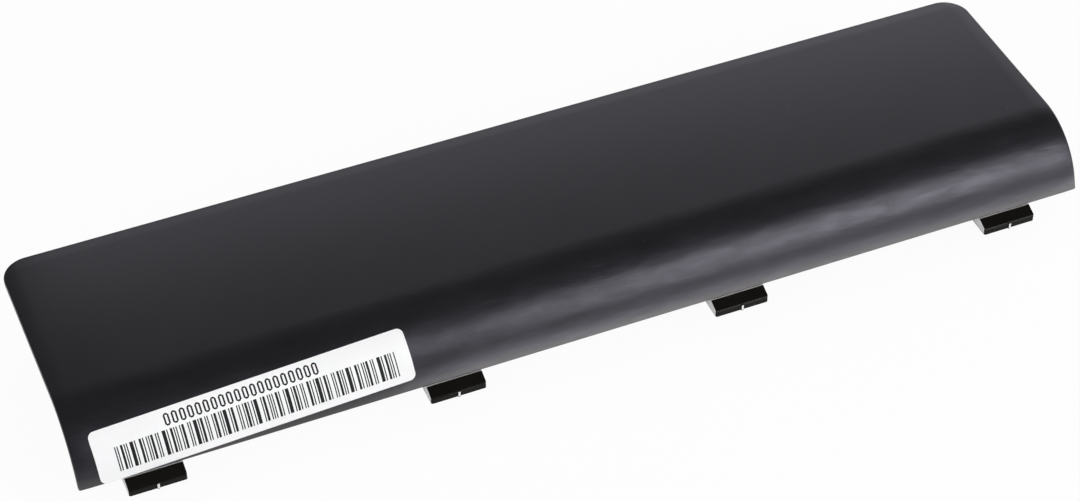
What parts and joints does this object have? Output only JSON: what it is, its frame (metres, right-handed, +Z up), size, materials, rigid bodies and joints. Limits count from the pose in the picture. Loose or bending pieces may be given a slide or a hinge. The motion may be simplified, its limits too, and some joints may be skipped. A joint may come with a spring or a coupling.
{
  "type": "laptop battery",
  "caption": "Slim removable laptop battery pack: a dark curled cover over a black tray with tabs along its rim, latch pockets, a slotted socket and a sticker, holding round cells.",
  "frame": {"origin": "centre of the bounding box, on the surface that the tray rests on", "axes": "+X along the pack, -Y towards the curled side with the tabs, +Z up through the cover"},
  "size_m": [0.206, 0.0544, 0.0211],
  "materials": {
    "cover_plastic": "satin moulded plastic, dark grey",
    "case_plastic": "smooth moulded plastic, black",
    "label_paper": "smooth white sticker with printed bars",
    "cell_sleeve": "heat-shrunk film, teal",
    "ring_paper": "thin white paper",
    "nickel_strip": "rolled nickel",
    "insulating_paper": "grey-green insulating paper",
    "board_laminate": "green lacquered glass-fibre board",
    "chip_resin": "moulded black resin",
    "fuse_body": "white ceramic",
    "shunt_alloy": "bare resistance alloy",
    "capacitor_ceramic": "tan ceramic",
    "thermistor_coating": "dark dipped coating",
    "socket_plastic": "moulded black plastic",
    "contact_metal": "gold-plated spring metal"
  },
  "bodies": {
    "root": {"outer_cover": "cover_plastic", "inner_case": "case_plastic", "barcode_label": "label_paper", "cell_1": "cell_sleeve", "cell_2": "cell_sleeve", "cell_3": "cell_sleeve", "cell_4": "cell_sleeve", "cell_5": "cell_sleeve", "cell_6": "cell_sleeve", "insulating_rings": "ring_paper", "negative_end_strip": "nickel_strip", "series_link_1": "nickel_strip", "series_link_2": "nickel_strip", "positive_end_strip": "nickel_strip", "end_paper_left": "insulating_paper", "end_paper_right": "insulating_paper", "board_insulator": "insulating_paper", "circuit_board": "board_laminate", "gauge_chip": "chip_resin", "protection_chip": "chip_resin", "charge_transistor": "chip_resin", "discharge_transistor": "chip_resin", "thermal_fuse": "fuse_body", "shunt_resistor": "shunt_alloy", "chip_capacitors": "capacitor_ceramic", "thermistor": "thermistor_coating", "connector_housing": "socket_plastic", "connector_contact_1": "contact_metal", "connector_contact_2": "contact_metal", "connector_contact_3": "contact_metal", "connector_contact_4": "contact_metal", "connector_contact_5": "contact_metal", "connector_contact_6": "contact_metal", "connector_contact_7": "contact_metal"}
  },
  "joints": []
}
